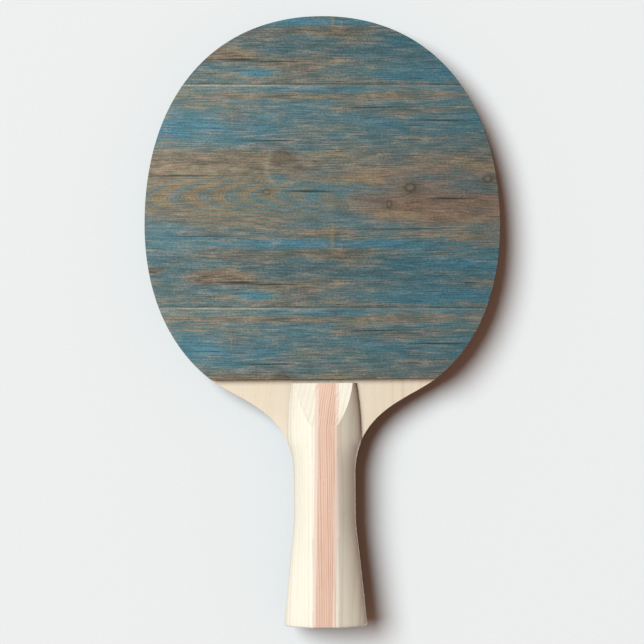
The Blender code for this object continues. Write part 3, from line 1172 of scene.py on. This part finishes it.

    # Fine light and dark along the grain, grit, and painted shade that darkens the print towards
    # the right, away from the softbox.
    light = swing(broad, 0.4, swing(grit, 1.5, swing(fine, 0.2, 1.04)))
    light = swing(streak, 0.25, swing(blots, 0.7, light))
    for row in TONES:
        place = one_patch(board, row, times(rag, 0.5), 0.6)
        light = times_plus(place, row[4], light)
    # painted shade: the print darkens from left to right, standing in for the softbox's light
    # falling off
    light = times(light, fade(across, -70, 70, 1.1, 0.86))
    grey = put("CombineColor", Red=light, Green=light, Blue=light).outputs[0]
    plug(result["Color"], mix(1, colour, grey, "MULTIPLY"))
    plug(result["Height"], times_plus(split, -0.5, fine))
    return group


weathered_boards = make_boards()


# %% The printed rubber
def make_printed_rubber():
    material, shader = new_material("printed_rubber")
    place = millimetres()
    boards = use(weathered_boards, Vector=place)
    top = rubber_high.z / MM
    on_top = fade(put("SeparateXYZ", Vector=place).outputs[2], top - 0.16, top - 0.1)
    plug(shader.inputs["Base Color"], mix(on_top, tint(26, 26, 27), boards["Color"]))
    plug(shader.inputs["Roughness"], 0.62)
    plug(shader.inputs["Specular IOR Level"], 0.25)
    speck = noise(place, (0.4, 0.4, 0.4), 1)
    bump(shader, times_plus(boards["Height"], 0.3, speck), 0.15, 0.02 * MM)
    return material


printed_rubber = make_printed_rubber()
dress(skins[0], printed_rubber)

# %% [markdown]
# A game engine needs the print as a picture. The map below says where on that square picture each
# face is drawn: the printed face takes nearly all of it, and the plain underside and rim are shrunk
# into the two corners that the round head leaves free.

# %% A picture map for the print
PRINT_MARGIN = 0.02
CORNER_MARGIN = 0.01
CORNER_SIZE = 0.1


def add_picture_map(skin):
    low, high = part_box("front_topsheet")
    span = max(high[0] - low[0], high[1] - low[1])
    print_size = 1 - 2 * PRINT_MARGIN
    far_corner = 1 - CORNER_MARGIN - CORNER_SIZE
    spots = skin.data.uv_layers.new(name="OFBake").data
    for face in skin.data.polygons:
        for corner in face.loop_indices:
            place = skin.data.vertices[skin.data.loops[corner].vertex_index].co
            right = (place.x - low[0]) / span
            up = (place.y - low[1]) / span
            deep = (place.z - low[2]) / (high[2] - low[2])
            if face.normal.z > 0.5:
                spot = (PRINT_MARGIN + print_size * right, PRINT_MARGIN + print_size * up)
            elif face.normal.z < -0.5:
                spot = (CORNER_MARGIN + CORNER_SIZE * right, CORNER_MARGIN + CORNER_SIZE * up)
            else:
                spot = (far_corner + CORNER_SIZE * right, CORNER_MARGIN + CORNER_SIZE * deep)
            spots[corner].uv = spot


add_picture_map(skins[0])

# %% [markdown]
# ## The table and the light
#
# One large softbox hangs to the upper left, a little under sixty degrees up. It looks wide from the
# paddle, so a shadow has a dark core near the edge and fades out over a couple of centimetres. The
# sky is dim and warm and fills only the shadows; the softbox is a little cool, so that the two add
# up to a neutral grey on the open table. The table lets light and a camera through from below, and
# a second light stands down there, so that the back of the paddle can be looked at too.

# %% Table
def make_table_paint():
    material, shader = new_material("table_paint")
    place = millimetres()
    tooth = noise(place, (1.5, 1.5, 1.5), 2)
    plug(shader.inputs["Base Color"], mix(tooth, tint(229, 229, 229), tint(233, 233, 233)))
    plug(shader.inputs["Roughness"], 0.9)
    plug(shader.inputs["Specular IOR Level"], 0.1)
    path = put("LightPath").outputs
    underside = put("NewGeometry").outputs["Backfacing"]
    from_below = times(underside, path["Is Camera Ray"])
    clear = calc("MAXIMUM", from_below, path["Is Shadow Ray"])
    glass = put("BsdfTransparent").outputs[0]
    surface = put("MixShader", Fac=clear)
    plug(surface.inputs[1], shader.outputs[0])
    plug(surface.inputs[2], glass)
    plug(material.node_tree.nodes["Material Output"].inputs["Surface"], surface.outputs[0])
    return material


TABLE_SIZE = 8
deselect()
bpy.ops.mesh.primitive_plane_add(
    size=TABLE_SIZE, location=(0, HANDLE_REST_Y, 0), rotation=(TABLE_SLOPE, 0, 0)
)
table = bpy.context.object
table.name = "table"
table.data.materials.append(make_table_paint())

# %% Light
KEY_ELEVATION = radians(57)
KEY_FROM = Vector((-0.89, 0.46, 0)).normalized()
KEY_DISTANCE = 25
KEY_HALF_ANGLE = radians(17.5)
KEY_POWER = 8190
KEY_COLOUR = (0.866, 0.968, 1)
WORLD_STRENGTH = 0.125
WORLD_COLOUR = (1.6, 0.86, 0.58, 1)
BACKDROP_COLOUR = tint(238, 238, 238)
UNDER_FROM = Vector((0.35, -0.45, -0.8)).normalized()
UNDER_DISTANCE = 4
UNDER_HALF_ANGLE = radians(25)
UNDER_POWER = 150
WHITE = (1, 1, 1)


def add_softbox(name, direction, distance, half_angle, power, colour):
    """A round light that faces the paddle from the given direction."""
    bpy.ops.object.light_add(type="AREA")
    light = bpy.context.object
    light.name = name
    light.data.shape = "DISK"
    light.data.size = 2 * distance * tan(half_angle)
    light.data.energy = power
    light.data.color = colour
    turn = direction.to_track_quat("Z", "Y").to_matrix().to_4x4()
    light.matrix_world = Matrix.Translation(direction * distance) @ turn


to_key = KEY_FROM * cos(KEY_ELEVATION) + Vector((0, 0, sin(KEY_ELEVATION)))
add_softbox("softbox", to_key, KEY_DISTANCE, KEY_HALF_ANGLE, KEY_POWER, KEY_COLOUR)
add_softbox("under_light", UNDER_FROM, UNDER_DISTANCE, UNDER_HALF_ANGLE, UNDER_POWER, WHITE)

world = bpy.data.worlds.new("studio")
bpy.context.scene.world = world
world.use_nodes = True
bench["tree"] = world.node_tree
seen = put("LightPath").outputs["Is Camera Ray"]
glow = world.node_tree.nodes["Background"].inputs
plug(glow["Color"], mix(seen, WORLD_COLOUR, BACKDROP_COLOUR))
plug(glow["Strength"], fade(seen, 0, 1, WORLD_STRENGTH, 1))
bpy.context.scene.view_settings.view_transform = "Standard"
# No light bounces from one matt surface to the next, so the sky alone fills the shadows.
bpy.context.scene.cycles.diffuse_bounces = 0
